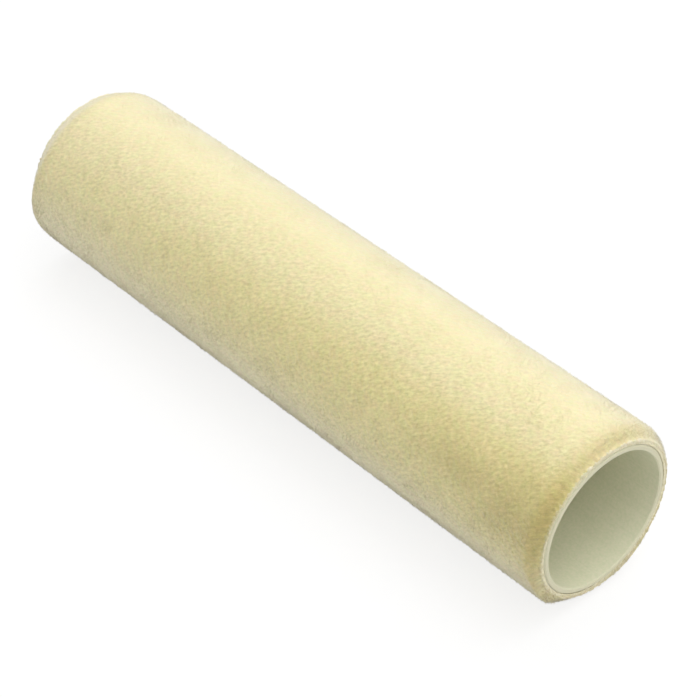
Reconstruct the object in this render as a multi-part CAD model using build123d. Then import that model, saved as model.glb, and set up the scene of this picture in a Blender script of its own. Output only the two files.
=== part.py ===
from build123d import *

import math
import os

# A refill sleeve for a hand paint roller, in millimetres.
# The origin is the middle of the bore. +X runs along the bore to the mouth, and +Z is up.

# Core tube: extruded plastic, open right through, which slides onto a roller frame's cage.
sleeve_length = 228.6
bore_radius = 22.225
core_wall = 1.6
core_edge_break = 0.3

# Hot-melt adhesive that holds the fabric on the core.
adhesive_thickness = 0.25
adhesive_setback = 0.5  # the film stops this far inside each end of the core

# Pile fabric: one long strip, wound round the core as a left-handed helix, edge to edge.
strip_width = 54.7
backing_thickness = 0.9
butt_seam_gap = 0.2
seam_end_angle = 107.0  # where the seam reaches the +X end, turned from +Y towards +Z
fabric_setback = 0.3  # the fabric is trimmed this far inside each end of the core

# Pile: the standing fibres, sheared level along the sleeve and bevelled at both ends.
pile_height = 3.3
pile_height_at_trim = 0.55
bevel_length = 3.8
bevel_shoulder_radius = 3.0

# Radii of the layers, from the bore outwards
core_radius = bore_radius + core_wall
adhesive_radius = core_radius + adhesive_thickness
backing_radius = adhesive_radius + backing_thickness
pile_radius = backing_radius + pile_height
pile_trim_radius = backing_radius + pile_height_at_trim

# Lengths of the layers
adhesive_length = sleeve_length - 2 * adhesive_setback
fabric_length = sleeve_length - 2 * fabric_setback

# The helix follows from the strip's width and the girth that it is wound on.
backing_middle_radius = adhesive_radius + backing_thickness / 2
backing_girth = 2 * math.pi * backing_middle_radius
seam_slope = math.asin(strip_width / backing_girth)
seam_pitch = strip_width / math.cos(seam_slope)


def along_x(shape):
    """Lays a shape that was built about Z down along +X."""
    return Rot(0, 90, 0) * shape


def ring(outer_radius, inner_radius, length):
    return Cylinder(outer_radius, length) - Cylinder(inner_radius, length)


def core_tube():
    tube = ring(core_radius, bore_radius, sleeve_length)
    cut_edges = tube.edges().filter_by(GeomType.CIRCLE)
    return along_x(chamfer(cut_edges, core_edge_break))


def adhesive_film():
    return along_x(ring(adhesive_radius, core_radius, adhesive_length))


def butt_seam():
    """The thin helical gap between the edges of neighbouring turns of the strip."""
    cut_depth = 2 * backing_thickness
    run_out = seam_pitch / 4
    helix_length = fabric_length + 2 * run_out
    helix = Helix(seam_pitch, helix_length, backing_middle_radius, lefthand=True)
    radial = Vector(1, 0, 0)
    start = Plane(origin=helix @ 0, x_dir=radial, z_dir=helix % 0)
    cut = sweep(start * Rectangle(cut_depth, butt_seam_gap), path=helix, is_frenet=True)
    # Laid along X, a point at angle t about Z lies at angle t - 90 from +Y towards +Z.
    turns_to_end = (fabric_length + run_out) / seam_pitch
    start_angle = seam_end_angle + 90 + 360 * turns_to_end
    return Pos(0, 0, -helix_length / 2) * Rot(0, 0, start_angle) * cut


def backing_strip():
    cloth = ring(backing_radius, adhesive_radius, fabric_length)
    return along_x(cloth - butt_seam())


def nap_pile():
    half_length = fabric_length / 2
    shoulder = half_length - bevel_length
    profile = Polyline(
        (backing_radius, -half_length),
        (pile_trim_radius, -half_length),
        (pile_radius, -shoulder),
        (pile_radius, shoulder),
        (pile_trim_radius, half_length),
        (backing_radius, half_length),
        close=True,
    )
    section = make_face(profile)
    shoulders = section.vertices().group_by(Axis.X)[-1]
    section = fillet(shoulders, min(bevel_shoulder_radius, bevel_length))
    upright = Plane.XZ * section
    return along_x(revolve(upright, Axis.Z))


nodes = {
    "core_tube": core_tube,
    "adhesive_film": adhesive_film,
    "backing_strip": backing_strip,
    "nap_pile": nap_pile,
}

os.makedirs("parts", exist_ok=True)
for node_name, make_node in nodes.items():
    export_step(make_node(), f"parts/{node_name}.step")
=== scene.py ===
import math

import bpy
import numpy as np
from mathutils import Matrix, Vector


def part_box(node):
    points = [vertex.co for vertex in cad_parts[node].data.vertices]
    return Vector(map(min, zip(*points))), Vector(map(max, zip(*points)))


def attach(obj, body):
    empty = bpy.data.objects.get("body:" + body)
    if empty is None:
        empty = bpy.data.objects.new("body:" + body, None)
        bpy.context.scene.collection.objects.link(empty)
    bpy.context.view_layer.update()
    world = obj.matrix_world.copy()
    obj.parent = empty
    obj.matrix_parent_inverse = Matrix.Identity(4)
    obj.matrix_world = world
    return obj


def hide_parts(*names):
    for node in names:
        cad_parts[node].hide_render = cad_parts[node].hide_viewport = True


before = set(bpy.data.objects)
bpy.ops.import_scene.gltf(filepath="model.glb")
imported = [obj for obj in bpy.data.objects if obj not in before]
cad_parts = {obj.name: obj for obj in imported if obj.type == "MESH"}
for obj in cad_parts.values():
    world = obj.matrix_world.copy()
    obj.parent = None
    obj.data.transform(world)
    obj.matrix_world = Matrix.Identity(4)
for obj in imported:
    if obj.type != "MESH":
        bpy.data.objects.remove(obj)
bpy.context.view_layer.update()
print("frame loaded:", ", ".join(sorted(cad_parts)))

mm = 0.001
turn = 2 * math.pi

# Sizes that the frame already fixes
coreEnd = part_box("core_tube")[1].x
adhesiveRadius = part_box("adhesive_film")[1].z
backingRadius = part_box("backing_strip")[1].z
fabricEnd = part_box("nap_pile")[1].x
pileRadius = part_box("nap_pile")[1].z


# Small helpers for node trees: a value is a number, a colour, a vector or another node's output.
def feed(tree, socket, value):
    if isinstance(value, bpy.types.NodeSocket):
        tree.links.new(value, socket)
    elif isinstance(value, (tuple, list)) and socket.type == "RGBA" and len(value) == 3:
        socket.default_value = (*value, 1)
    else:
        socket.default_value = value


def addNode(tree, kind, inputs=None, **settings):
    node = tree.nodes.new(kind)
    for name, value in settings.items():
        setattr(node, name, value)
    for name, value in (inputs or {}).items():
        feed(tree, node.inputs[name], value)
    return node


def doMath(tree, operation, *values, clamp=False):
    inputs = dict(enumerate(values))
    return addNode(tree, "ShaderNodeMath", inputs, operation=operation, use_clamp=clamp).outputs[0]


def plus(tree, first, second, clamp=False):
    return doMath(tree, "ADD", first, second, clamp=clamp)


def times(tree, first, second, clamp=False):
    return doMath(tree, "MULTIPLY", first, second, clamp=clamp)


def doVector(tree, operation, *values):
    node = addNode(tree, "ShaderNodeVectorMath", operation=operation)
    for i, value in enumerate(values):
        feed(tree, node.inputs[3 if operation == "SCALE" and i == 1 else i], value)
    return node.outputs["Value" if operation in ("LENGTH", "DISTANCE") else "Vector"]


def scaled(tree, vector, factor):
    return doVector(tree, "SCALE", vector, factor)


def mapRange(tree, value, low, high, toLow=0.0, toHigh=1.0, **settings):
    inputs = {"Value": value, "From Min": low, "From Max": high, "To Min": toLow, "To Max": toHigh}
    return addNode(tree, "ShaderNodeMapRange", inputs, **settings).outputs["Result"]


def mixColour(tree, factor, first, second, blend="MIX"):
    inputs = {0: factor, 6: first, 7: second}
    return addNode(tree, "ShaderNodeMix", inputs, data_type="RGBA", blend_type=blend).outputs[2]


def joined(tree, x, y, z=0.0):
    return addNode(tree, "ShaderNodeCombineXYZ", {"X": x, "Y": y, "Z": z}).outputs["Vector"]


def parted(tree, vector):
    return addNode(tree, "ShaderNodeSeparateXYZ", {"Vector": vector}).outputs


def objectPlace(tree):
    return addNode(tree, "ShaderNodeTexCoord").outputs["Object"]


def meshPlace(tree):
    return addNode(tree, "GeometryNodeInputPosition").outputs["Position"]


def noiseNode(tree, place, size, detail, **more):
    inputs = {"Vector": place, "Scale": 1 / size, "Detail": detail, **more}
    return addNode(tree, "ShaderNodeTexNoise", inputs).outputs[0]


def addBump(tree, shader, height, strength, distance):
    bump = addNode(tree, "ShaderNodeBump", {"Strength": strength, "Distance": distance, "Height": height})
    tree.links.new(bump.outputs["Normal"], shader.inputs["Normal"])


def newGroup(name, kind, inputs, outputs):
    group = bpy.data.node_groups.new(name, kind)
    for socketName, socketType, default in inputs:
        socket = group.interface.new_socket(socketName, in_out="INPUT", socket_type=socketType)
        if default is not None:
            socket.default_value = default
    for socketName, socketType in outputs:
        group.interface.new_socket(socketName, in_out="OUTPUT", socket_type=socketType)
    return group, group.nodes.new("NodeGroupInput"), group.nodes.new("NodeGroupOutput")


# Between two numbers, or between two vectors
def randomNode(tree, seed, low, high):
    kind, socket, output = ("FLOAT_VECTOR", 0, 0) if isinstance(low, tuple) else ("FLOAT", 2, 1)
    inputs = {"Seed": seed, socket: low, socket + 1: high}
    return addNode(tree, "FunctionNodeRandomValue", inputs, data_type=kind).outputs[output]


def passOn(tree, kind, geometry, **inputs):
    return addNode(tree, f"GeometryNode{kind}", {"Geometry": geometry, **inputs}).outputs["Geometry"]


# A tree that changes one piece's mesh and gives it a material
def newPieceTree(name, inputs):
    mesh = ("Geometry", "NodeSocketGeometry")
    given = [(*mesh, None), *inputs, ("Material", "NodeSocketMaterial", None)]
    return newGroup(name, "GeometryNodeTree", given, [mesh])


def newMaterial(name, baseColour, roughness, **constants):
    material = bpy.data.materials.new(name)
    material.use_nodes = True
    shader = material.node_tree.nodes["Principled BSDF"]
    shader.inputs["Base Color"].default_value = (*baseColour, 1)
    shader.inputs["Roughness"].default_value = roughness
    for socketName, value in constants.items():
        feed(material.node_tree, shader.inputs[socketName.replace("_", " ")], value)
    return material, material.node_tree, shader


def newMesh(name, points, faces, material=None):
    mesh = bpy.data.meshes.new(name)
    mesh.from_pydata([tuple(p) for p in points], [], [tuple(f) for f in faces])
    if material is not None:
        mesh.materials.append(material)
    mesh.polygons.foreach_set("use_smooth", [True] * len(mesh.polygons))
    mesh.update()
    piece = bpy.data.objects.new(name, mesh)
    bpy.context.scene.collection.objects.link(piece)
    return piece


def gridFaces(rows, columns, wrapColumns=False, wrapRows=False):
    i, j = np.meshgrid(
        np.arange(rows if wrapRows else rows - 1),
        np.arange(columns if wrapColumns else columns - 1),
        indexing="ij",
    )
    nextRow, nextColumn = (i + 1) % rows, (j + 1) % columns
    corners = (i * columns + j, i * columns + nextColumn, nextRow * columns + nextColumn, nextRow * columns + j)
    return np.stack(corners, axis=-1).reshape(-1, 4).tolist()


def setPointValues(piece, name, values):
    kind = "FLOAT_VECTOR" if values.ndim == 2 else "FLOAT"
    attribute = piece.data.attributes.new(name, kind, "POINT")
    key = "vector" if values.ndim == 2 else "value"
    attribute.data.foreach_set(key, values.astype(np.float32).ravel())


def applyNodes(piece, tree, inputs, name):
    modifier = piece.modifiers.new("nodes", "NODES")
    modifier.node_group = tree
    for item in tree.interface.items_tree:
        if item.in_out == "INPUT" and item.name in inputs:
            modifier[item.identifier] = inputs[item.name]
    graph = bpy.context.evaluated_depsgraph_get()
    mesh = bpy.data.meshes.new_from_object(piece.evaluated_get(graph), depsgraph=graph)
    mesh.name = name
    piece.modifiers.remove(modifier)
    bpy.data.objects.remove(piece)
    made = bpy.data.objects.new(name, mesh)
    bpy.context.scene.collection.objects.link(made)
    return made


# Cloudy colour drift at two sizes, used in every material of the part
driftInputs = ("Broad Size", "Fine Size", "Broad Depth", "Fine Depth")


def driftGroup():
    group, groupIn, groupOut = newGroup(
        "drift",
        "ShaderNodeTree",
        [(name, "NodeSocketFloat", None) for name in driftInputs],
        [("Value", "NodeSocketFloat")],
    )
    place = objectPlace(group)
    total = 0.5
    for size in ("Broad", "Fine"):
        scale = doMath(group, "DIVIDE", 1.0, groupIn.outputs[f"{size} Size"])
        noise = addNode(group, "ShaderNodeTexNoise", {"Vector": place, "Scale": scale, "Detail": 2.0})
        shift = doMath(group, "SUBTRACT", noise.outputs[0], 0.5)
        total = plus(group, total, times(group, shift, groupIn.outputs[f"{size} Depth"]))
    group.links.new(times(group, total, 1.0, clamp=True), groupOut.inputs["Value"])
    return group


drift = driftGroup()


# The values are the two sizes and then the two depths.
def drifting(tree, values):
    return addNode(tree, "ShaderNodeGroup", dict(zip(driftInputs, values)), node_tree=drift).outputs["Value"]


pileLook = {
    # roots and bed are darker and deeper yellow than the tips: painted shade deep in the pile
    "tip": (0.99, 0.94, 0.72),
    "root": (0.95, 0.85, 0.44),
    "shade": (0.93, 0.89, 0.74),
    "rosy": (1.0, 0.94, 0.93),
    "green": (0.945, 1.0, 0.88),
    # painted shade over the bevel at each end, with the bevel's own yellower tone; the lip's painted shade uses it too
    "shoulderShade": (0.79, 0.75, 0.60),
    # darkens the pressed places, and gives painted shade along the seam and on the lip
    "pressedAndShadedTint": (0.70, 0.66, 0.47),
    "lookedIntoShade": (1.0, 0.985, 0.86),  # painted shade, looking straight down between the fibres
    "lookedAcrossSheen": (1.045, 1.04, 1.13),  # painted sheen, looking over their tips
    "roughness": 0.6,
    "sheen": 0.9,
    "sheenTint": (1.0, 1.0, 0.96),
    "drift": (24 * mm, 3.0 * mm, 0.5, 0.8),
    "clumpSpread": 0.25,
    "cloudSpread": 0.30,
    # the grain colour is painted shade for tufts that sit deeper than their neighbours
    "grain": (0.70, 0.69, 0.58),
    "grainSize": 0.85 * mm,
    "grainStretch": 2.0,
    "grainSlant": 34,
    "grainRange": (0.30, 0.70),
    "grainAcross": 0.33,  # how much of the grains' painted shade is left when looking across
    "hueSize": 2.4 * mm,
    "hueRange": (0.36, 0.64),
    "ownShare": 0.3,  # share of each fibre's own hue in the drift
    "curlSize": 0.30 * mm,
    "curlDepth": 0.14 * mm,
    "curlStrength": 0.8,
    "pileLean": 0.50,
    "acrossRange": (0.17, 0.38),  # over this much facing the look changes from into to across, from painted shade to painted sheen
    "fadeRange": (0.35, 0.75),  # and over this much the grains' painted shade fades
}


def pileMaterial():
    material, tree, shader = newMaterial(
        "creamPile", pileLook["tip"], pileLook["roughness"],
        Specular_IOR_Level=0.5,
        Sheen_Weight=pileLook["sheen"], Sheen_Roughness=0.6, Sheen_Tint=pileLook["sheenTint"],
    )
    clump, along, shoulderShade, pressedAndShaded, own = (
        addNode(tree, "ShaderNodeAttribute", attribute_name=name).outputs["Fac"]
        for name in ("clumpTone", "along", "shoulderShade", "pressedAndShaded", "ownTone")
    )
    clouds = drifting(tree, pileLook["drift"])
    # Painted shade deep in the pile: the colour runs from the roots' to the tips'.
    colour = mixColour(tree, along, pileLook["root"], pileLook["tip"])
    tone = plus(tree, times(tree, clump, pileLook["clumpSpread"]), times(tree, clouds, pileLook["cloudSpread"]))
    # Random tone, then painted shade over the bevel at each end with its yellower tone, then the pressed places with
    # the seam's painted shade.
    for factor, tint in ((tone, "shade"), (shoulderShade, "shoulderShade"), (pressedAndShaded, "pressedAndShadedTint")):
        colour = mixColour(tree, factor, colour, mixColour(tree, 1.0, colour, pileLook[tint], "MULTIPLY"))

    # The pile leans, so it is looked into from one side and across from the other. Looked into, it gets painted shade;
    # looked across, a painted sheen.
    place = objectPlace(tree)
    radial = doVector(tree, "NORMALIZE", doVector(tree, "MULTIPLY", place, (0.0, 1.0, 1.0)))
    around = doVector(tree, "CROSS_PRODUCT", (1.0, 0.0, 0.0), radial)
    lean = scaled(tree, around, -pileLook["pileLean"])
    leaning = doVector(tree, "NORMALIZE", doVector(tree, "ADD", radial, lean))
    facing = addNode(tree, "ShaderNodeLayerWeight", {"Blend": 0.5, "Normal": leaning}).outputs["Facing"]
    across = mapRange(tree, facing, *pileLook["acrossRange"], interpolation_type="SMOOTHSTEP")
    shadeAndSheen = mixColour(tree, across, pileLook["lookedIntoShade"], pileLook["lookedAcrossSheen"])
    colour = mixColour(tree, 1.0, colour, shadeAndSheen, "MULTIPLY")

    # Grains of a few fibres get painted shade, as if they sat deeper, more so where the pile is looked into; they also
    # differ in hue.
    shown = mapRange(tree, facing, *pileLook["fadeRange"], 1.0, pileLook["grainAcross"])
    split = parted(tree, place)
    arc = times(tree, doMath(tree, "ARCTAN2", split["Y"], split["Z"]), pileRadius)
    slant = math.radians(pileLook["grainSlant"])
    cos, sin = math.cos(slant), math.sin(slant)
    layAlong = plus(tree, times(tree, split["X"], cos), times(tree, arc, sin))
    layAside = doMath(tree, "SUBTRACT", times(tree, arc, cos), times(tree, split["X"], sin))
    combed = joined(tree, doMath(tree, "DIVIDE", layAlong, pileLook["grainStretch"]), layAside)
    grains = noiseNode(tree, combed, pileLook["grainSize"], 3.0, Roughness=0.6)
    deep = mapRange(tree, grains, *pileLook["grainRange"])
    grainShaded = mixColour(tree, 1.0, colour, pileLook["grain"], "MULTIPLY")
    colour = mixColour(tree, times(tree, deep, shown), colour, grainShaded)
    hues = noiseNode(tree, doVector(tree, "ADD", place, (3.0, 1.0, 2.0)), pileLook["hueSize"], 3.0)
    shared = mapRange(tree, hues, *pileLook["hueRange"], 0.0, 1.0 - pileLook["ownShare"])
    hue = plus(tree, shared, times(tree, own, pileLook["ownShare"]))
    hueTint = mixColour(tree, hue, pileLook["rosy"], pileLook["green"])
    colour = mixColour(tree, 1.0, colour, hueTint, "MULTIPLY")
    tree.links.new(colour, shader.inputs["Base Color"])
    curls = noiseNode(tree, place, pileLook["curlSize"], 2.0, Distortion=1.2)
    addBump(tree, shader, curls, pileLook["curlStrength"], pileLook["curlDepth"])
    return material


# The standing pile: sheared level, bevelled at both ends, parted a little along the strip's butt seam
nap = {
    "bevelLength": 3.8 * mm,
    "trimPile": 0.55 * mm,  # pile left standing at the trimmed end
    "shoulderSoftness": 0.35 * mm,
    "cutEdge": 1.3 * mm,  # the last fibres, cut short and paler
    "bevelReach": 1.15,  # fibres start to fan out this many bevel lengths from the edge
    "bevelFan": 0.35,
    "fan": 0.3,  # how far the last fibres fan out past the edge
    "fringeSize": 1.6 * mm,
    "fringeCut": 0.28,  # how unevenly the last fibres are cut
    "mostCut": 0.7,
    "edgeShade": 0.25,  # share of the shoulder's shade left on the last fibres
    "fringeShade": 0.45,
    "tipsStand": 0.18 * mm,  # loose tips rise this far over the sheared level
    "fibreLength": 0.75 * mm,
    "shortestFibre": 0.2 * mm,
    "fibreWidth": 0.13 * mm,
    "fibreSpacing": 0.254 * mm,
    "bedDepth": 0.10 * mm,  # the matted bed lies this far under the sheared level
    "bedGrid": 0.45 * mm,
    "bedRings": 4,
    "bedFade": 2 * mm,  # the bed is smooth at the edge and fully pebbled from here inwards
    "bedAlong": 0.15,  # the bed is coloured like this share of a fibre, so it takes the roots' painted shade
    "thinnestBed": 0.1 * mm,
    "layerGap": 0.01 * mm,
    "rootGap": 0.05 * mm,
    "rootSteps": (1.2 * mm, 0.4 * mm),
    "rootColumns": 19,
    "clumpSize": 0.95 * mm,
    "clumpHeight": 0.30 * mm,
    "grainSize": 0.60 * mm,
    "grainHeight": 0.42 * mm,
    "bedRelief": 0.6,  # share of the clumps' height that the bed follows
    "clumping": 0.22,
    "splay": 0.40,
    "lean": 0.60,
    "layAlong": 0.8,  # the pile is stroked towards +X and a little down the near side
    "layAround": 0.35,
    "swirl": 0.3,  # both vary slowly from place to place
    "swirlSize": 22 * mm,
    "sway": 0.35,
    "swaySize": 9 * mm,
    "heights": (0.72, 1.06),  # shortest and tallest fibre, as a share
    "heightSway": 0.05,
    "clumpTone": 0.5,  # shares of the clump's tone and of the fibre's own
    "ownTone": 0.6,
    "seamPitch": 58.5 * mm,
    "seamAngle": 107.0,  # where the seam reaches the +X end, from +Y towards +Z
    "seamWidth": 0.9 * mm,
    "seamSink": 0.2,
    "seamShade": 0.45,
    "sectors": 8,
    "mapCells": 220.0,
    "mapFill": 0.42,  # half size of a fibre in its cell of the map
}

# How each end was trimmed. The bevel is a share of bevelLength, less squareDepth round squareAngle, where the
# end was left almost square and the last fibres fan out more. Elsewhere those are cut short by the share cut.
trimmedEnds = {
    "mouth": {
        "bevel": 1.0, "squareAngle": 213, "squareWidth": 24, "squareDepth": 0.85, "squareFan": 0.6, "cut": 0.38,
    },
    "back": {
        "bevel": 1.3, "squareAngle": 199, "squareWidth": 46, "squareDepth": 1.15, "squareFan": 1.3, "cut": 0.5,
    },
}

# Places where the pile is pressed: distance along X, angle, half sizes, depth
brushedPlaces = [
    {"x": 84 * mm, "angle": 152, "long": 22 * mm, "round": 16, "depth": 0.65},
    {"x": 105 * mm, "angle": 158, "long": 22 * mm, "round": 30, "depth": 0.82},
]

# Places round the ends where more or less pile was left standing
unevenTrim = [
    {"angle": 298, "halfWidth": 22, "extra": 2.0},
    {"angle": 350, "halfWidth": 28, "extra": -0.75},
]


def trimSwell(angle):
    swell = np.ones_like(angle)
    for place in unevenTrim:
        off = (np.degrees(angle) - place["angle"] + 180) % 360 - 180
        swell += place["extra"] * np.exp(-((off / place["halfWidth"]) ** 2))
    return swell


def eachEnd(x, name):
    return np.where(x > 0, trimmedEnds["mouth"][name], trimmedEnds["back"][name])


def squareness(x, angle):
    off = (np.degrees(angle) - eachEnd(x, "squareAngle") + 180) % 360 - 180
    return np.exp(-((off / eachEnd(x, "squareWidth")) ** 2))


def envelope(x, angle):
    fromEnd = fabricEnd - np.abs(x)
    trim = backingRadius + nap["trimPile"] * trimSwell(angle)
    length = nap["bevelLength"] * (eachEnd(x, "bevel") - eachEnd(x, "squareDepth") * squareness(x, angle))
    bevel = trim + (pileRadius - trim) * fromEnd / length
    k = nap["shoulderSoftness"]
    return pileRadius - k * np.logaddexp((pileRadius - bevel) / k, 0)


def seamDistance(x, angle):
    start = fabricEnd + nap["seamPitch"] * (math.radians(nap["seamAngle"]) - angle) / turn
    turns = (x - start) / nap["seamPitch"]
    return np.abs(turns - np.round(turns)) * nap["seamPitch"]


def axialStations(step, fineStep):
    flatEnd = fabricEnd - 2 * nap["bevelLength"]
    flat = np.linspace(-flatEnd, flatEnd, round(2 * flatEnd / step) + 1)
    bevel = np.linspace(flatEnd, fabricEnd, round((fabricEnd - flatEnd) / fineStep) + 1)[1:]
    return np.concatenate([-bevel[::-1], flat, bevel])


def onCylinder(x, radius, angle):
    return np.stack([x, radius * np.cos(angle), radius * np.sin(angle)], axis=-1)


def unit(vectors):
    return vectors / np.linalg.norm(vectors, axis=-1, keepdims=True)


def markDepth(x, angle):
    total = np.zeros_like(x)
    for place in brushedPlaces:
        off = (angle - math.radians(place["angle"]) + math.pi) % turn - math.pi
        far = ((x - place["x"]) / place["long"]) ** 2 + (off / math.radians(place["round"])) ** 2
        total = np.maximum(total, place["depth"] * np.exp(-1.5 * far))
    return total


def smoothNoise(points, size, seed):
    random = np.random.default_rng(seed)
    noise = np.zeros(points.shape[:-1])
    for _ in range(24):
        direction = unit(random.normal(size=3))
        rate = turn / size * random.uniform(0.6, 1.5)
        noise += np.sin(points @ direction * rate + random.uniform(0, turn))
    return noise / math.sqrt(12)


# Everything that the fibres and the bed under them need to know about a place on the pile
def napValues(x, angle):
    fromEnd = fabricEnd - np.abs(x)
    zero, one = np.zeros_like(x), np.ones_like(x)
    radial, around = onCylinder(zero, one, angle), onCylinder(zero, one, angle + math.pi / 2)
    axial = np.stack([one, zero, zero], axis=-1)
    bevelled = np.clip(1 - fromEnd / (nap["bevelReach"] * nap["bevelLength"]), 0, 1)
    inside = np.clip(fromEnd / nap["cutEdge"], 0, 1)
    square = squareness(x, angle)
    fan = nap["fan"] + eachEnd(x, "squareFan") * square
    outward = np.sign(x) * (nap["bevelFan"] * bevelled + fan * (1 - inside))
    # Painted shade over the bevel, strongest at the end, with the bevel's own yellower tone
    shoulderShade = np.clip(1 - fromEnd / (2 * nap["bevelLength"]), 0, 1)
    points = onCylinder(x, pileRadius * one, angle)
    swirl, sway = smoothNoise(points, nap["swirlSize"], 5), smoothNoise(points, nap["swaySize"], 8)
    layAlong = (nap["swirl"] * swirl + nap["layAlong"]) * inside
    layAround = nap["sway"] * sway - nap["layAround"]
    fringe = smoothNoise(points, nap["fringeSize"], 12) * (1 - inside)
    cut = (1 - inside) * (1 - square) * eachEnd(x, "cut") + nap["fringeCut"] * fringe
    shade = nap["edgeShade"] + (1 - nap["edgeShade"]) * inside + nap["fringeShade"] * fringe
    return {
        "grow": unit(radial + outward[..., None] * axial),
        "lay": axial * layAlong[..., None] + around * layAround[..., None],
        "bevelled": bevelled,
        "cutShort": np.clip(cut, 0, nap["mostCut"]),
        "shoulderShade": shoulderShade * np.clip(shade, 0, 1),
        "seam": np.exp(-((seamDistance(x, angle) / nap["seamWidth"]) ** 2)),
        "sway": sway,
        "pressedAndShaded": markDepth(x, angle),
    }


def attributeNode(tree, name, kind="FLOAT_VECTOR"):
    return addNode(tree, "GeometryNodeInputNamedAttribute", {"Name": name}, data_type=kind).outputs["Attribute"]


def storeNode(tree, geometry, name, value, kind="FLOAT", domain="POINT"):
    node = addNode(tree, "GeometryNodeStoreNamedAttribute", {"Geometry": geometry, "Name": name, "Value": value},
                   data_type=kind, domain=domain)
    return node.outputs["Geometry"]


pebbleInputs = [
    ("Clump Size", "NodeSocketFloat", nap["clumpSize"]),
    ("Clump Height", "NodeSocketFloat", nap["clumpHeight"]),
    ("Grain Size", "NodeSocketFloat", nap["grainSize"]),
    ("Grain Height", "NodeSocketFloat", nap["grainHeight"]),
]


# Small uneven clumps: how far each place rises, the clump's own tone, and the way to its middle
def pebbleGroup():
    group, groupIn, groupOut = newGroup(
        "pebbles",
        "GeometryNodeTree",
        [("Place", "NodeSocketVector", None), *pebbleInputs],
        [("Rise", "NodeSocketFloat"), ("Tone", "NodeSocketFloat"), ("Inward", "NodeSocketVector")],
    )
    given = groupIn.outputs
    inCells = scaled(group, given["Place"], doMath(group, "DIVIDE", 1.0, given["Clump Size"]))
    cell = addNode(group, "ShaderNodeTexVoronoi", {"Vector": inCells, "Scale": 1.0})
    inGrains = scaled(group, given["Place"], doMath(group, "DIVIDE", 1.0, given["Grain Size"]))
    grain = addNode(group, "ShaderNodeTexNoise", {"Vector": inGrains, "Scale": 1.0, "Detail": 1.0})
    # Half a clump's height over the level in its middle, half under it between the clumps
    dome = mapRange(group, cell.outputs["Distance"], 0.0, 0.75, 0.5, -0.5)
    rise = times(group, dome, given["Clump Height"])
    ripple = times(group, doMath(group, "SUBTRACT", grain.outputs[0], 0.5), given["Grain Height"])
    feed(group, groupOut.inputs["Rise"], plus(group, rise, ripple))
    tones = addNode(group, "FunctionNodeSeparateColor", {"Color": cell.outputs["Color"]})
    feed(group, groupOut.inputs["Tone"], tones.outputs[0])
    middle = scaled(group, cell.outputs["Position"], given["Clump Size"])
    feed(group, groupOut.inputs["Inward"], doVector(group, "SUBTRACT", middle, given["Place"]))
    return group


def placePebbles(tree, place, given):
    inputs = {"Place": place, **{name: given[name] for name, *_ in pebbleInputs}}
    return addNode(tree, "GeometryNodeGroup", inputs, node_tree=pebbles).outputs


pebbles = pebbleGroup()


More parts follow.
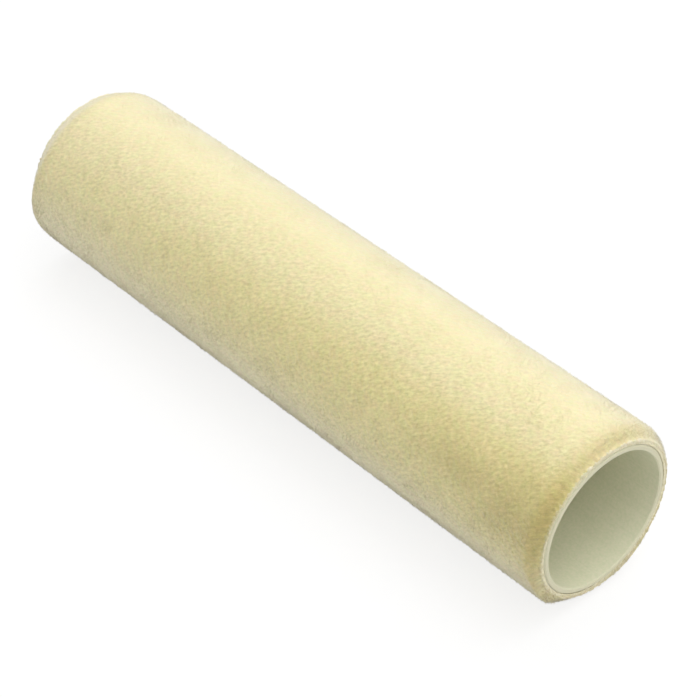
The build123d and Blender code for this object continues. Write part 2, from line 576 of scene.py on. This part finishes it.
def fibreTree():
    tree, groupIn, groupOut = newPieceTree("pileFibres", [
        ("Spacing", "NodeSocketFloat", nap["fibreSpacing"]),
        ("Fibre Width", "NodeSocketFloat", nap["fibreWidth"]),
        *pebbleInputs,
        ("Clumping", "NodeSocketFloat", nap["clumping"]),
        ("Splay", "NodeSocketFloat", nap["splay"]),
        ("Lean", "NodeSocketFloat", nap["lean"]),
        ("Seed", "NodeSocketInt", 0),
        ("Map Cells", "NodeSocketFloat", nap["mapCells"]),
    ])
    given = groupIn.outputs
    dense = doMath(tree, "DIVIDE", 3.0, times(tree, given["Spacing"], given["Spacing"]))
    scatter = addNode(tree, "GeometryNodeDistributePointsOnFaces", {
        "Mesh": given["Geometry"], "Distance Min": given["Spacing"], "Density Max": dense, "Seed": given["Seed"],
    }, distribute_method="POISSON")
    grow, lay = attributeNode(tree, "grow"), attributeNode(tree, "lay")
    standing = attributeNode(tree, "standing", "FLOAT")
    root = meshPlace(tree)

    # Fibres of one clump lean together and stand as high as their clump does.
    bedAbove = nap["fibreLength"] - nap["tipsStand"] - nap["bedDepth"]
    place = doVector(tree, "ADD", root, scaled(tree, grow, bedAbove))
    clump = placePebbles(tree, place, given)
    pull = scaled(tree, clump["Inward"], given["Clumping"])
    inward = addNode(tree, "ShaderNodeVectorMath", {0: pull, 1: grow}, operation="DOT_PRODUCT").outputs["Value"]
    pull = doVector(tree, "SUBTRACT", pull, scaled(tree, grow, inward))

    jitter = randomNode(tree, given["Seed"], (-1.0, -1.0, -1.0), (1.0, 1.0, 1.0))
    height = randomNode(tree, plus(tree, given["Seed"], 31.0), *nap["heights"])
    length = plus(tree, times(tree, standing, height), clump["Rise"])
    length = doMath(tree, "MAXIMUM", length, nap["shortestFibre"])
    reach = scaled(tree, grow, length)
    for push in (
        scaled(tree, jitter, times(tree, standing, given["Splay"])),
        scaled(tree, lay, times(tree, standing, given["Lean"])),
        pull,
    ):
        reach = doVector(tree, "ADD", reach, push)

    index = addNode(tree, "GeometryNodeInputIndex").outputs["Index"]
    row = doMath(tree, "FLOOR", doMath(tree, "DIVIDE", index, given["Map Cells"]))
    mapPlace = joined(tree, doMath(tree, "MODULO", index, given["Map Cells"]), row)
    own = randomNode(tree, plus(tree, given["Seed"], 47.0), 0.0, 1.0)
    points = storeNode(tree, scatter.outputs["Points"], "ownTone", own)
    tone = plus(tree, times(tree, clump["Tone"], nap["clumpTone"]), times(tree, own, nap["ownTone"]))
    points = storeNode(tree, points, "clumpTone", tone)
    points = storeNode(tree, points, "mapPlace", mapPlace, "FLOAT_VECTOR")

    # One fibre is a three-sided cone, closed at its foot.
    fibre = addNode(tree, "GeometryNodeMeshCone", {
        "Vertices": 3, "Radius Top": 0.0, "Radius Bottom": 1.0, "Depth": 1.0,
    }, fill_type="NGON").outputs["Mesh"]
    local = parted(tree, meshPlace(tree))
    fibre = storeNode(tree, fibre, "along", local["Z"])
    fibre = storeNode(tree, fibre, "across", joined(tree, local["X"], local["Y"]), "FLOAT_VECTOR")

    aim = addNode(tree, "FunctionNodeAlignRotationToVector", {"Vector": reach}, axis="Z").outputs["Rotation"]
    size = joined(tree, given["Fibre Width"], given["Fibre Width"], doVector(tree, "LENGTH", reach))
    standingFibres = addNode(tree, "GeometryNodeInstanceOnPoints", {
        "Points": points, "Instance": fibre, "Rotation": aim, "Scale": size,
    }).outputs["Instances"]
    mesh = passOn(tree, "SetShadeSmooth", passOn(tree, "RealizeInstances", standingFibres))

    # Each fibre has its own small cell of the map, seen from above.
    spot = doVector(tree, "ADD", attributeNode(tree, "mapPlace"), (0.5, 0.5, 0.0))
    spread = scaled(tree, attributeNode(tree, "across"), nap["mapFill"])
    spot = scaled(tree, doVector(tree, "ADD", spot, spread), doMath(tree, "DIVIDE", 1.0, given["Map Cells"]))
    mesh = storeNode(tree, mesh, "OFBake", spot, "FLOAT2", "CORNER")
    tree.links.new(passOn(tree, "SetMaterial", mesh, Material=given["Material"]), groupOut.inputs["Geometry"])
    return tree


spareAttributes = ("grow", "lay", "standing", "mapPlace", "across", "room", "out", "around")


def finishPiece(piece, replaces=None):
    for name in spareAttributes:
        attribute = piece.data.attributes.get(name)
        if attribute is not None:
            piece.data.attributes.remove(attribute)
    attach(piece, "root")
    if replaces:
        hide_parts(replaces)
    return piece


def makeFibres(material):
    tree = fibreTree()
    stations = axialStations(*nap["rootSteps"])
    span = turn / nap["sectors"]
    made = []
    for sector in range(nap["sectors"]):
        angles = np.linspace(sector * span, (sector + 1) * span, nap["rootColumns"])
        x, angle = (part.ravel() for part in np.meshgrid(stations, angles, indexing="ij"))
        tips = envelope(x, angle) + nap["tipsStand"]
        roots = np.maximum(tips - nap["fibreLength"], backingRadius + nap["rootGap"])
        emitter = newMesh("roots", onCylinder(x, roots, angle), gridFaces(len(stations), len(angles)))
        values = napValues(x, angle)
        uneven = 1 + nap["heightSway"] * values["sway"] * (1 - values["bevelled"])
        values["standing"] = (tips - roots) * uneven * (1 - nap["seamSink"] * values["seam"])
        values["standing"] *= 1 - values["cutShort"]
        # The seam's parting gets painted shade through the pressed places' tint.
        values["pressedAndShaded"] = np.clip(values["pressedAndShaded"] + nap["seamShade"] * values["seam"], 0, 1)
        for name in ("grow", "lay", "standing", "shoulderShade", "pressedAndShaded"):
            setPointValues(emitter, name, values[name])
        piece = applyNodes(emitter, tree, {"Material": material, "Seed": 11 + 7 * sector}, f"napFibres{sector + 1}")
        made.append(finishPiece(piece))
    return made, tree


# The matted bed that the fibres stand in: closed rings with a pebbled outside
def bedTree():
    tree, groupIn, groupOut = newPieceTree("pileBed", pebbleInputs)
    given = groupIn.outputs
    clump = placePebbles(tree, meshPlace(tree), given)
    rise = times(tree, clump["Rise"], attributeNode(tree, "room", "FLOAT"))
    moved = passOn(tree, "SetPosition", given["Geometry"], Offset=scaled(tree, attributeNode(tree, "grow"), rise))
    toned = storeNode(tree, storeNode(tree, moved, "clumpTone", clump["Tone"]), "ownTone", clump["Tone"])
    whole = passOn(tree, "RealizeInstances", toned)
    tree.links.new(passOn(tree, "SetMaterial", whole, Material=given["Material"]), groupOut.inputs["Geometry"])
    return tree


# The rings take their shading from the whole outside at once, so their joints don't show.
def joinShading(rings, columns):
    outsides = []
    for ring in rings:
        points = np.empty(len(ring.data.vertices) * 3)
        ring.data.vertices.foreach_get("co", points)
        outsides.append(points.reshape(-1, columns, 3)[:-2])
    whole = np.concatenate([outsides[0]] + [rows[1:] for rows in outsides[1:]])
    along = np.gradient(whole, axis=0)
    around = np.roll(whole, -1, axis=1) - np.roll(whole, 1, axis=1)
    normals = unit(np.cross(around, along))
    first = 0
    for ring, outside in zip(rings, outsides):
        rows = len(outside)
        faces = np.empty(len(ring.data.polygons) * 3)
        ring.data.polygons.foreach_get("normal", faces)
        corners = np.empty(len(ring.data.loops), int)
        ring.data.loops.foreach_get("vertex_index", corners)
        smooth = np.repeat(np.arange(len(ring.data.polygons)) < (rows - 1) * columns, 4)
        values = np.repeat(faces.reshape(-1, 3), 4, axis=0)
        ringNormals = normals[first:first + rows].reshape(-1, 3)
        values[smooth] = ringNormals[corners[smooth]]
        ring.data.normals_split_custom_set(values.tolist())
        first += rows - 1


def makeBed(material):
    tree = bedTree()
    stations = axialStations(nap["bedGrid"], nap["bedGrid"])
    columns = round(turn * pileRadius / nap["bedGrid"])
    angles = np.linspace(0, turn, columns, endpoint=False)
    foot = backingRadius + nap["layerGap"]
    breaks = np.linspace(0, len(stations) - 1, nap["bedRings"] + 1).round().astype(int)
    made = []
    for ring, (first, last) in enumerate(zip(breaks[:-1], breaks[1:])):
        outside = stations[first:last + 1]
        rows = len(outside)
        x = np.append(outside, [outside[-1], outside[0]])
        x, angle = np.meshgrid(x, angles, indexing="ij")
        radius = np.maximum(envelope(x, angle) - nap["bedDepth"], foot + nap["thinnestBed"])
        radius[rows:] = foot
        faces = gridFaces(rows + 2, columns, True, True)
        piece = newMesh("bed", onCylinder(x, radius, angle).reshape(-1, 3), faces)
        # The inner wall and both cut sides are flat, so the outside keeps its own shading up to the joint.
        smooth = np.arange(len(faces)) < (rows - 1) * columns
        piece.data.polygons.foreach_set("use_smooth", smooth)
        values = napValues(x, angle)
        values["room"] = nap["bedRelief"] * np.clip((fabricEnd - np.abs(x)) / nap["bedFade"], 0, 1)
        values["room"][rows:] = 0
        values["along"] = np.full_like(x, nap["bedAlong"])
        for name in ("grow", "room", "shoulderShade", "pressedAndShaded", "along"):
            setPointValues(piece, name, values[name].reshape(-1, *values[name].shape[2:]))
        made.append(finishPiece(applyNodes(piece, tree, {"Material": material}, f"napBed{ring + 1}")))
    joinShading(made, columns)
    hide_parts("nap_pile")
    return made


creamPile = pileMaterial()
bed = makeBed(creamPile)
print("nap bed made:", [len(b.data.polygons) for b in bed])
fibres, fibreNodes = makeFibres(creamPile)
print("nap fibres made:", [len(f.data.polygons) // 4 for f in fibres])

# A soft rolled lip along each trimmed end, with short tufts all over it
rim = {
    "lipRadius": backingRadius + 0.18 * mm,
    "lipHeight": 0.38 * mm,
    "lipDepth": 0.30 * mm,
    "lipInset": 0.16 * mm,
    "columns": 720,
    "sides": 12,
    "unevenness": 0.52,  # at two sizes, the finer one weaker
    "unevenSize": 1.6 * mm,
    "finerSize": 0.7 * mm,
    "finerShare": 0.6,
    "heightRange": (0.45, 1.6),
    "depthRange": (0.6, 1.3),
    "along": 0.9,  # the lip is coloured like this share of a fibre
    "tones": {"clumpTone": 0.3, "ownTone": 0.5},
    "toneSwing": 0.3,
    "toneSize": 0.8 * mm,
    "lipLitAngle": 85,  # painted shade: the lip is left palest here, on its lit side, and darker towards the far side
    "lipShadeLevel": 0.6,
    "lipShadeSwing": 0.8,
    "lipShading": 0.9,
    "tuftLength": 0.20 * mm,
    "tuftSway": 2.5 * mm,
    "tufts": {
        "Spacing": 0.23 * mm, "Map Cells": 110.0, "Clump Height": 0.05 * mm, "Grain Height": 0.05 * mm,
        "Fibre Width": 0.10 * mm, "Clumping": 0.0,
    },
}


def makeRimLips(tree, material):
    made = []
    steps = [np.arange(count) * turn / count for count in (rim["columns"], rim["sides"])]
    angle, bend = np.meshgrid(*steps, indexing="ij")
    zero, one = np.zeros_like(angle), np.ones_like(angle)
    place = onCylinder(zero, rim["lipRadius"] * one, angle)
    for side, name in ((1, "Mouth"), (-1, "Back")):
        finer = smoothNoise(place, rim["finerSize"], 25 + side)
        uneven = smoothNoise(place, rim["unevenSize"], 21 + side) + rim["finerShare"] * finer
        uneven = 1 + rim["unevenness"] * uneven
        high = rim["lipHeight"] * np.clip(uneven, *rim["heightRange"]) * trimSwell(angle)
        deep = rim["lipDepth"] * np.clip(uneven, *rim["depthRange"])
        x = side * (fabricEnd - rim["lipInset"] + deep * np.cos(bend))
        points = onCylinder(x, rim["lipRadius"] + high * np.sin(bend), angle)
        axial, radial = onCylinder(side * one, zero, angle), onCylinder(zero, one, angle)
        outward = unit(axial * np.cos(bend)[..., None] + radial * np.sin(bend)[..., None])
        faces = gridFaces(rim["columns"], rim["sides"], True, True)
        if side > 0:
            faces = [face[::-1] for face in faces]
        lip = newMesh(f"rimLip{name}", points.reshape(-1, 3), faces, material)
        fine = smoothNoise(points, rim["toneSize"], 41 + side)
        # Painted shade: the lip is darkened away from its lit side, and round 160 degrees where the pressed place
        # reaches the mouth end.
        fromLit = np.cos(angle - math.radians(rim["lipLitAngle"]))
        lipShade = rim["lipShading"] * np.clip(rim["lipShadeLevel"] - rim["lipShadeSwing"] * fromLit, 0, 1)
        pressedAndShaded = markDepth(side * fabricEnd * one, angle)
        looks = {"along": rim["along"] * one, "shoulderShade": lipShade, "pressedAndShaded": pressedAndShaded}
        looks.update({tone: level + rim["toneSwing"] * fine for tone, level in rim["tones"].items()})
        for value, level in looks.items():
            setPointValues(lip, value, level.ravel())
        made.append(finishPiece(lip))

        emitter = newMesh("lipRoots", points.reshape(-1, 3), faces)
        sway = smoothNoise(place, rim["tuftSway"], 31 + side)[..., None]
        values = {
            "grow": outward, "lay": sway * onCylinder(zero, one, angle + math.pi / 2),
            "standing": rim["tuftLength"] * one, "shoulderShade": lipShade, "pressedAndShaded": pressedAndShaded,
        }
        for value, level in values.items():
            setPointValues(emitter, value, level.reshape(-1, *level.shape[2:]))
        inputs = {"Material": material, "Seed": 91 + side, **rim["tufts"]}
        made.append(finishPiece(applyNodes(emitter, tree, inputs, f"rimTufts{name}")))
    return made


# Cut loops of yarn along the backing's trimmed edges
yarn = {
    "pitch": 1.05 * mm,
    "radius": 0.18 * mm,
    "inset": 0.28 * mm,  # from the backing's inner side
    "fromEdge": 0.22 * mm,
    "loopWidth": 0.95 * mm,
    "loopHeight": 0.30 * mm,
    "roundPoints": 6,
    "turns": (0.45, 0.6, 0.35),  # how far a loop sways at most
    "smallest": (0.7, 0.6, 0.8),  # shares of a loop's size
    "largest": (1.15, 1.25, 1.2),
    "shift": 0.2,  # share of the pitch
    "radiusShift": (-0.12 * mm, 0.16 * mm),
}


def yarnTree():
    tree, groupIn, groupOut = newPieceTree("yarnLoops", [
        ("Width", "NodeSocketFloat", yarn["loopWidth"]),
        ("Height", "NodeSocketFloat", yarn["loopHeight"]),
        ("Yarn Radius", "NodeSocketFloat", yarn["radius"]),
        ("Seed", "NodeSocketInt", 3),
    ])
    given = groupIn.outputs
    arc = addNode(tree, "GeometryNodeCurveArc", {
        "Resolution": yarn["roundPoints"], "Radius": 1.0, "Start Angle": 0.0, "Sweep Angle": math.pi,
    }).outputs["Curve"]
    shape = joined(tree, times(tree, given["Width"], 0.5), given["Height"], 1.0)
    loop = passOn(tree, "Transform", arc, Scale=shape)
    strand = addNode(tree, "GeometryNodeCurvePrimitiveCircle", {
        "Resolution": yarn["roundPoints"], "Radius": given["Yarn Radius"],
    }).outputs["Curve"]
    loopMesh = addNode(tree, "GeometryNodeCurveToMesh", {
        "Curve": loop, "Profile Curve": strand, "Fill Caps": True,
    }).outputs["Mesh"]

    # A loop stands out from the cut edge with its feet along the edge, and sways a little.
    aim = addNode(tree, "FunctionNodeAlignRotationToVector", {"Vector": attributeNode(tree, "out")}, axis="Y")
    aim = addNode(tree, "FunctionNodeAlignRotationToVector", {
        "Rotation": aim.outputs["Rotation"], "Vector": attributeNode(tree, "around"),
    }, axis="X", pivot_axis="Y").outputs["Rotation"]
    sway = randomNode(tree, given["Seed"], tuple(-most for most in yarn["turns"]), yarn["turns"])
    aim = addNode(tree, "FunctionNodeRotateRotation", {"Rotation": aim, "Rotate By": sway},
                  rotation_space="LOCAL").outputs["Rotation"]
    size = randomNode(tree, plus(tree, given["Seed"], 5.0), yarn["smallest"], yarn["largest"])
    loops = addNode(tree, "GeometryNodeInstanceOnPoints", {
        "Points": given["Geometry"], "Instance": loopMesh, "Rotation": aim, "Scale": size,
    }).outputs["Instances"]
    mesh = passOn(tree, "SetShadeSmooth", passOn(tree, "RealizeInstances", loops))
    tree.links.new(passOn(tree, "SetMaterial", mesh, Material=given["Material"]), groupOut.inputs["Geometry"])
    return tree


def makeYarnEnds(material):
    tree = yarnTree()
    middle = adhesiveRadius + yarn["inset"]
    count = round(turn * middle / yarn["pitch"])
    zero, one = np.zeros(count), np.ones(count)
    random = np.random.default_rng(17)
    made = []
    for side, name in ((1, "yarnEndsMouth"), (-1, "yarnEndsBack")):
        shift = random.uniform(-yarn["shift"], yarn["shift"], count)
        angle = np.arange(count) * turn / count + shift * turn / count
        radius = middle + random.uniform(*yarn["radiusShift"], count)
        x = side * (fabricEnd - yarn["fromEdge"]) * one
        points = newMesh("yarnRoots", onCylinder(x, radius, angle), [])
        setPointValues(points, "out", np.stack([side * one, zero, zero], axis=-1))
        setPointValues(points, "around", onCylinder(zero, one, angle + math.pi / 2))
        inputs = {"Material": material, "Seed": 40 + side}
        made.append(finishPiece(applyNodes(points, tree, inputs, name)))
    return made


# The backing: one strip of knitted cloth wound from seam edge to seam edge
cloth = {
    "seamGap": 0.2 * mm,
    "stripWidth": 54.7 * mm,
    "stripLength": 786 * mm,
    "stripArea": 0.0351,
    "colour": (0.92, 0.88, 0.66),
    "grooveShade": (0.76, 0.69, 0.46),
    "roughness": 0.85,
    "courseSize": 0.8 * mm,
    "waleSize": 1.3 * mm,
    "stitchLean": 2.7,  # how far the stitches of a course slant into the wales
    "stitchHeight": 0.35,
    "waleHeight": 0.5,
    "drift": (9 * mm, 0.6 * mm, 0.4, 1.0),
    "paleShare": 0.6,  # how much the knit's height and the drift each lift the grooves' painted shade
    "relief": 0.15 * mm,
    "reliefStrength": 0.6,
    "grid": (115, 201),
}


def clothMaterial():
    material, tree, shader = newMaterial(
        "backingCloth", cloth["colour"], cloth["roughness"], Specular_IOR_Level=0.25, Sheen_Weight=0.3,
    )
    strip = addNode(tree, "ShaderNodeAttribute", attribute_name="strip").outputs["Vector"]
    parts = parted(tree, strip)
    wales = doMath(tree, "SINE", times(tree, parts["X"], turn / cloth["waleSize"]))
    ribs = doMath(tree, "ABSOLUTE", wales)
    courses = times(tree, parts["Y"], turn / cloth["courseSize"])
    stitches = doMath(tree, "SINE", plus(tree, courses, times(tree, ribs, cloth["stitchLean"])))
    height = plus(tree, times(tree, stitches, cloth["stitchHeight"]), times(tree, ribs, cloth["waleHeight"]))
    clouds = drifting(tree, cloth["drift"])
    # Painted shade in the knit's grooves, broken up by drifting tone.
    factor = plus(tree, times(tree, height, cloth["paleShare"]), times(tree, clouds, cloth["paleShare"]), clamp=True)
    tree.links.new(mixColour(tree, factor, cloth["grooveShade"], cloth["colour"]), shader.inputs["Base Color"])
    addBump(tree, shader, plus(tree, height, clouds), cloth["reliefStrength"], cloth["relief"])
    return material


def makeBacking(material):
    rows, columns = cloth["grid"]
    stations = np.linspace(-fabricEnd, fabricEnd, rows)
    share = np.linspace(0, 1, columns)
    middle = (adhesiveRadius + backingRadius) / 2
    slope = math.atan2(nap["seamPitch"], turn * middle)
    halfGap = cloth["seamGap"] / 2 / math.sin(slope) / middle
    start = math.radians(nap["seamAngle"]) - (stations - fabricEnd) / nap["seamPitch"] * turn
    angle = start[:, None] + halfGap + share[None] * (turn - 2 * halfGap)
    x = stations[:, None] * np.ones_like(angle)
    outer = onCylinder(x, (backingRadius - nap["layerGap"]) * np.ones_like(x), angle)
    inner = onCylinder(x, (adhesiveRadius + nap["layerGap"]) * np.ones_like(x), angle)[:, ::-1]
    # Each row goes round the outside and comes back on the inside, so the strip is one closed sheet.
    loop = np.concatenate([outer, inner], axis=1)
    faces = gridFaces(rows, 2 * columns, True)
    for row, flip in ((0, 1), (rows - 1, -1)):
        base = row * 2 * columns
        for i in range(columns - 1):
            face = (base + i, base + i + 1, base + 2 * columns - 2 - i, base + 2 * columns - 1 - i)
            faces.append(face[::flip])
    piece = newMesh("backingCloth", loop.reshape(-1, 3), faces, material)
    piece.data.polygons.foreach_set("use_smooth", [i < (rows - 1) * 2 * columns for i in range(len(faces))])
    across = (x - fabricEnd + (start[:, None] - angle) * nap["seamPitch"] / -turn) * math.cos(slope)
    alongStrip = angle * middle * math.cos(slope) + x * math.sin(slope)
    strip = np.stack([across, alongStrip, np.zeros_like(x)], axis=-1)
    setPointValues(piece, "strip", np.concatenate([strip, strip[:, ::-1]], axis=1).reshape(-1, 3))
    return finishPiece(piece, "backing_strip")


clothStuff = clothMaterial()
rimLips = makeRimLips(fibreNodes, creamPile)
yarnEnds = makeYarnEnds(clothStuff)
backing = makeBacking(clothStuff)
print("backing and rim made:", [len(p.data.polygons) for p in [backing] + rimLips + yarnEnds])

# Core and glue keep their own shapes and get their finishes here.
coreLook = {
    "colour": (0.80, 0.79, 0.595),
    "cloudColour": (0.74, 0.74, 0.54),
    "streakColour": (0.70, 0.70, 0.50),
    "roughness": 0.38,
    "drift": (30 * mm, 5 * mm, 0.8, 0.5),
    "drawn": 0.012,  # drawn lines run the whole length, as the die leaves them
    "streakSize": 0.9 * mm,
    "streakRange": (0.45, 0.75),
    "streakShare": 0.35,
    "speckSize": 0.8 * mm,
    "speckRange": (0.35, 0.65),
    "greySpeck": (0.95, 0.975, 0.94),
    "paleSpeck": (1.04, 1.02, 1.04),
    "cutColour": (0.65, 0.615, 0.43),
    "cutLength": 0.35 * mm,
    "cutShare": 0.8,
    "cutRough": 0.2,
    "sawSize": 0.25 * mm,
    "sawRelief": 0.8,
    "streakRelief": 0.5,
    "relief": 0.08 * mm,
    "reliefStrength": 0.25,
}


def coreMaterial():
    rough = coreLook["roughness"]
    material, tree, shader = newMaterial("corePlastic", coreLook["colour"], rough, Specular_IOR_Level=0.45)
    place = objectPlace(tree)
    drawn = addNode(tree, "ShaderNodeMapping", {"Vector": place, "Scale": (coreLook["drawn"], 1.0, 1.0)})
    streaks = noiseNode(tree, drawn.outputs["Vector"], coreLook["streakSize"], 3.0)
    clouds = drifting(tree, coreLook["drift"])
    colour = mixColour(tree, clouds, coreLook["cloudColour"], coreLook["colour"])
    streaked = mapRange(tree, streaks, *coreLook["streakRange"], 0.0, coreLook["streakShare"])
    colour = mixColour(tree, streaked, colour, coreLook["streakColour"])
    specks = mapRange(tree, noiseNode(tree, place, coreLook["speckSize"], 3.0), *coreLook["speckRange"])
    speckTint = mixColour(tree, specks, coreLook["greySpeck"], coreLook["paleSpeck"])
    colour = mixColour(tree, 1.0, colour, speckTint, "MULTIPLY")

    # The sawn ends are duller and rougher than the drawn walls.
    fromMiddle = doMath(tree, "ABSOLUTE", parted(tree, place)["X"])
    cut = mapRange(tree, fromMiddle, coreEnd - coreLook["cutLength"], coreEnd - 0.1 * mm)
    colour = mixColour(tree, times(tree, cut, coreLook["cutShare"]), colour, coreLook["cutColour"])
    tree.links.new(colour, shader.inputs["Base Color"])
    wallRough = mapRange(tree, streaks, 0.3, 0.7, rough - 0.05, rough + 0.1)
    tree.links.new(plus(tree, wallRough, times(tree, cut, coreLook["cutRough"])), shader.inputs["Roughness"])
    saw = noiseNode(tree, place, coreLook["sawSize"], 2.0)
    sawn = times(tree, times(tree, saw, cut), coreLook["sawRelief"])
    relief = plus(tree, times(tree, streaks, coreLook["streakRelief"]), sawn)
    addBump(tree, shader, relief, coreLook["reliefStrength"], coreLook["relief"])
    return material


glueLook = {
    "colour": (0.76, 0.71, 0.55),
    "deepColour": (0.60, 0.54, 0.40),
    "roughness": 0.35,
    "roughRange": (0.28, 0.5),
    "drift": (6 * mm, 0.8 * mm, 1.2, 1.0),
    "relief": 0.1 * mm,
    "reliefStrength": 0.4,
}


def glueMaterial():
    material, tree, shader = newMaterial(
        "hotMelt", glueLook["colour"], glueLook["roughness"], Specular_IOR_Level=0.5,
    )
    clouds = drifting(tree, glueLook["drift"])
    tree.links.new(mixColour(tree, clouds, glueLook["deepColour"], glueLook["colour"]), shader.inputs["Base Color"])
    tree.links.new(mapRange(tree, clouds, 0.2, 0.8, *glueLook["roughRange"]), shader.inputs["Roughness"])
    addBump(tree, shader, clouds, glueLook["reliefStrength"], glueLook["relief"])
    return material


for node, material in (("core_tube", coreMaterial()), ("adhesive_film", glueMaterial())):
    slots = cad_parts[node].data.materials
    slots.clear()
    slots.append(material)
print("core and glue finished")

# Floor, light and camera
stage = {
    "floorSize": 12.0,
    "floorLevel": -pileRadius - 0.15 * mm,
    "floorColour": (0.88, 0.88, 0.88),
    "whiteShare": 0.82,
}


def whiteForTheCamera(tree):
    path = addNode(tree, "ShaderNodeLightPath")
    seen = doMath(tree, "MAXIMUM", path.outputs["Is Camera Ray"], path.outputs["Is Glossy Ray"])
    return doMath(tree, "MAXIMUM", seen, path.outputs["Is Transmission Ray"])


half = stage["floorSize"] / 2
corners = [(sx * half, sy * half, stage["floorLevel"]) for sx, sy in ((-1, -1), (1, -1), (1, 1), (-1, 1))]
floor = newMesh("floor", corners, [(0, 1, 2, 3)])
floorMaterial, floorTree, floorShader = newMaterial("paleFloor", stage["floorColour"], 0.9)
floor.data.materials.append(floorMaterial)
seen = whiteForTheCamera(floorTree)
glow = addNode(floorTree, "ShaderNodeEmission", {"Color": (1.0, 1.0, 1.0), "Strength": 1.0})
bright = addNode(floorTree, "ShaderNodeBsdfDiffuse", {"Color": (1.0, 1.0, 1.0)})
backdrop = addNode(floorTree, "ShaderNodeMixShader", {
    0: stage["whiteShare"], 1: bright.outputs[0], 2: glow.outputs[0],
})
wholeFloor = addNode(floorTree, "ShaderNodeMixShader", {0: seen, 1: floorShader.outputs[0], 2: backdrop.outputs[0]})
feed(floorTree, floorTree.nodes["Material Output"].inputs["Surface"], wholeFloor.outputs[0])

light = {
    "sky": 0.29,
    "spread": 66,
    "overCamera": {"strength": 1.53, "towards": (0.42, -0.12, 0.9)},
    "overBack": {"strength": 1.60, "towards": (-0.14, 0.47, 0.87)},
}
world = bpy.data.worlds.new("studio")
bpy.context.scene.world = world
world.use_nodes = True
background = world.node_tree.nodes["Background"]
background.inputs["Color"].default_value = (1, 1, 1, 1)
worldSeen = whiteForTheCamera(world.node_tree)
feed(world.node_tree, background.inputs["Strength"], mapRange(world.node_tree, worldSeen, 0.0, 1.0, light["sky"], 1.0))
for name in ("overCamera", "overBack"):
    softData = bpy.data.lights.new(name, "SUN")
    softData.energy = light[name]["strength"]
    softData.angle = math.radians(light["spread"])
    soft = bpy.data.objects.new(name, softData)
    bpy.context.scene.collection.objects.link(soft)
    soft.rotation_euler = Vector(light[name]["towards"]).to_track_quat("Z", "Y").to_euler()

view = {
    "azimuth": 47.73,
    "elevation": 39.8,
    "distance": 731.6 * mm,
    "lens": 124.77,
    "aside": 5.98 * mm,
    "below": 6.72 * mm,
}
azimuth, elevation = math.radians(view["azimuth"]), math.radians(view["elevation"])
right = Vector((math.cos(azimuth), math.sin(azimuth), 0))
back = Vector((math.sin(azimuth) * math.cos(elevation), -math.cos(azimuth) * math.cos(elevation), math.sin(elevation)))
above = back.cross(right)
cameraData = bpy.data.cameras.new("camera")
cameraData.lens = view["lens"]
cameraData.sensor_width = 36
camera = bpy.data.objects.new("camera", cameraData)
bpy.context.scene.collection.objects.link(camera)
camera.location = right * view["aside"] - above * view["below"] + back * view["distance"]
camera.rotation_euler = back.to_track_quat("Z", "Y").to_euler()
bpy.context.scene.camera = camera
bpy.context.scene.view_settings.view_transform = "Standard"
